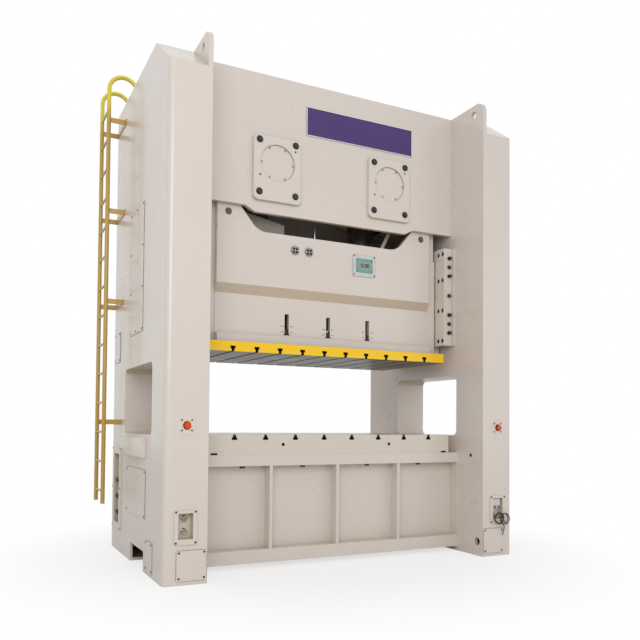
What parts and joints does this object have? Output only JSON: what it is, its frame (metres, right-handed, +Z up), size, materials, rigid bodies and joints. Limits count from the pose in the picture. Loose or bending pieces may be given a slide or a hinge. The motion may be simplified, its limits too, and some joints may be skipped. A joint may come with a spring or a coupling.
{
  "type": "mechanical stamping press",
  "caption": "Straight-side double-crank stamping press with window uprights, crown, bed with T-slot bolster, gib-guided slide, gear train, flywheel, motor and ladder",
  "frame": {"origin": "on the floor, at the centre of the four foundation bolts under the two uprights", "axes": "+X to the right seen from the front, +Y from the front to the back, +Z up, the longest extent"},
  "size_m": [3.777, 2.653, 5.125],
  "materials": {
    "frame_paint": "gloss enamel, warm pale grey",
    "plate_paint": "gloss enamel, amber yellow",
    "sign_paint": "satin enamel, purple",
    "ladder_paint": "gloss enamel, golden yellow",
    "machined_steel": "ground and milled, lightly oiled",
    "cast_iron": "machined on the running faces",
    "bronze": "bearing bronze, scraped",
    "dark_fasteners": "blackened",
    "black_plastic": "moulded, matte",
    "pale_plastic": "moulded, pale grey",
    "cable_sheath": "black sheath",
    "belt_rubber": "fabric-faced rubber",
    "motor_paint": "satin enamel",
    "yellow_plastic": "gloss yellow",
    "red_plastic": "gloss red",
    "screen_glass": "flat teal display window"
  },
  "bodies": {
    "frame": {"left_upright": "frame_paint", "right_upright": "frame_paint", "crown": "frame_paint", "bed": "frame_paint", "bed_ribs": "frame_paint", "bolster": "machined_steel", "bolster_bolts": "dark_fasteners", "bearing_covers": "frame_paint", "bearing_caps": "frame_paint", "cover_bolts": "dark_fasteners", "sign_plate": "sign_paint", "side_panels": "frame_paint", "access_door": "frame_paint", "hood": "frame_paint", "connector_box": "frame_paint", "left_socket_box": "frame_paint", "right_socket_box": "frame_paint", "sockets": "black_plastic", "connector_block": "pale_plastic", "cable": "cable_sheath", "cable_coil": "cable_sheath", "stop_plates": "yellow_plastic", "stop_switches": "black_plastic", "ladder_stiles": "ladder_paint", "ladder_rungs": "ladder_paint", "ladder_brackets": "ladder_paint", "front_gibs": "frame_paint", "rear_gibs": "frame_paint", "gib_screws": "dark_fasteners", "bearing_bushes": "bronze", "balance_cylinders": "frame_paint", "motor": "motor_paint", "motor_base": "frame_paint", "drive_belts": "belt_rubber", "belt_guard": "frame_paint"},
    "connections": {"left_rod": "cast_iron", "right_rod": "cast_iron", "crank_pins": "machined_steel"},
    "slide": {"slide_body": "frame_paint", "slide_plate": "plate_paint", "slide_liners": "bronze", "slide_fittings": "machined_steel", "display_frame": "pale_plastic", "display_screen": "screen_glass", "adjusting_screws": "machined_steel", "adjusting_gears": "machined_steel", "balance_pistons": "machined_steel"},
    "left_crankshaft": {"left_crank": "machined_steel", "left_gear": "machined_steel"},
    "right_crankshaft": {"right_crank": "machined_steel", "right_gear": "machined_steel"},
    "pinion": {"pinion_shaft": "machined_steel", "clutch": "cast_iron"},
    "flywheel_wheel": {"flywheel": "cast_iron"},
    "pulley": {"motor_pulley": "cast_iron"},
    "left_knockout": {"left_knockout_bar": "machined_steel"},
    "middle_knockout": {"middle_knockout_bar": "machined_steel"},
    "right_knockout": {"right_knockout_bar": "machined_steel"},
    "left_button": {"left_stop_button": "red_plastic"},
    "right_button": {"right_stop_button": "red_plastic"}
  },
  "joints": [
    {"name": "slide_stroke", "type": "slide", "parent": "frame", "child": "connections", "axis": [0, 0, 1], "range_m": [-0.25, 0]},
    {"name": "die_height", "type": "slide", "parent": "connections", "child": "slide", "axis": [0, 0, 1], "range_m": [-0.05, 0.05]},
    {"name": "left_crank_turn", "type": "hinge", "parent": "frame", "child": "left_crankshaft", "pos_m": [-0.62, 0, 3.76], "axis": [0, 1, 0], "range_deg": [0, 180.1]},
    {"name": "right_crank_turn", "type": "hinge", "parent": "frame", "child": "right_crankshaft", "pos_m": [0.62, 0, 3.76], "axis": [0, 1, 0], "range_deg": [0, 180.1]},
    {"name": "pinion_turn", "type": "hinge", "parent": "frame", "child": "pinion", "pos_m": [0, 0.7, 4.12606], "axis": [0, 1, 0], "range_deg": [-746, 0]},
    {"name": "flywheel_spin", "type": "hinge", "parent": "frame", "child": "flywheel_wheel", "pos_m": [0, 1.23, 4.12606], "axis": [0, 1, 0], "continuous": true},
    {"name": "motor_spin", "type": "hinge", "parent": "frame", "child": "pulley", "pos_m": [0.5, 1.23, 4.865], "axis": [0, 1, 0], "continuous": true},
    {"name": "left_knockout_lift", "type": "slide", "parent": "slide", "child": "left_knockout", "axis": [0, 0, 1], "range_m": [0, 0.14]},
    {"name": "middle_knockout_lift", "type": "slide", "parent": "slide", "child": "middle_knockout", "axis": [0, 0, 1], "range_m": [0, 0.14]},
    {"name": "right_knockout_lift", "type": "slide", "parent": "slide", "child": "right_knockout", "axis": [0, 0, 1], "range_m": [0, 0.14]},
    {"name": "left_stop_press", "type": "slide", "parent": "frame", "child": "left_button", "axis": [0, 1, 0], "range_m": [0, 0.006], "stiffness_N_per_m": 3000},
    {"name": "right_stop_press", "type": "slide", "parent": "frame", "child": "right_button", "axis": [0, 1, 0], "range_m": [0, 0.006], "stiffness_N_per_m": 3000}
  ],
  "couplings": [
    {"joint": "left_crank_turn", "follows": "slide_stroke", "rad_per_m": -12.566},
    {"joint": "right_crank_turn", "follows": "slide_stroke", "rad_per_m": -12.566},
    {"joint": "pinion_turn", "follows": "slide_stroke", "rad_per_m": 52.061},
    {"joint": "motor_spin", "follows": "flywheel_spin", "ratio": 4.2816}
  ]
}
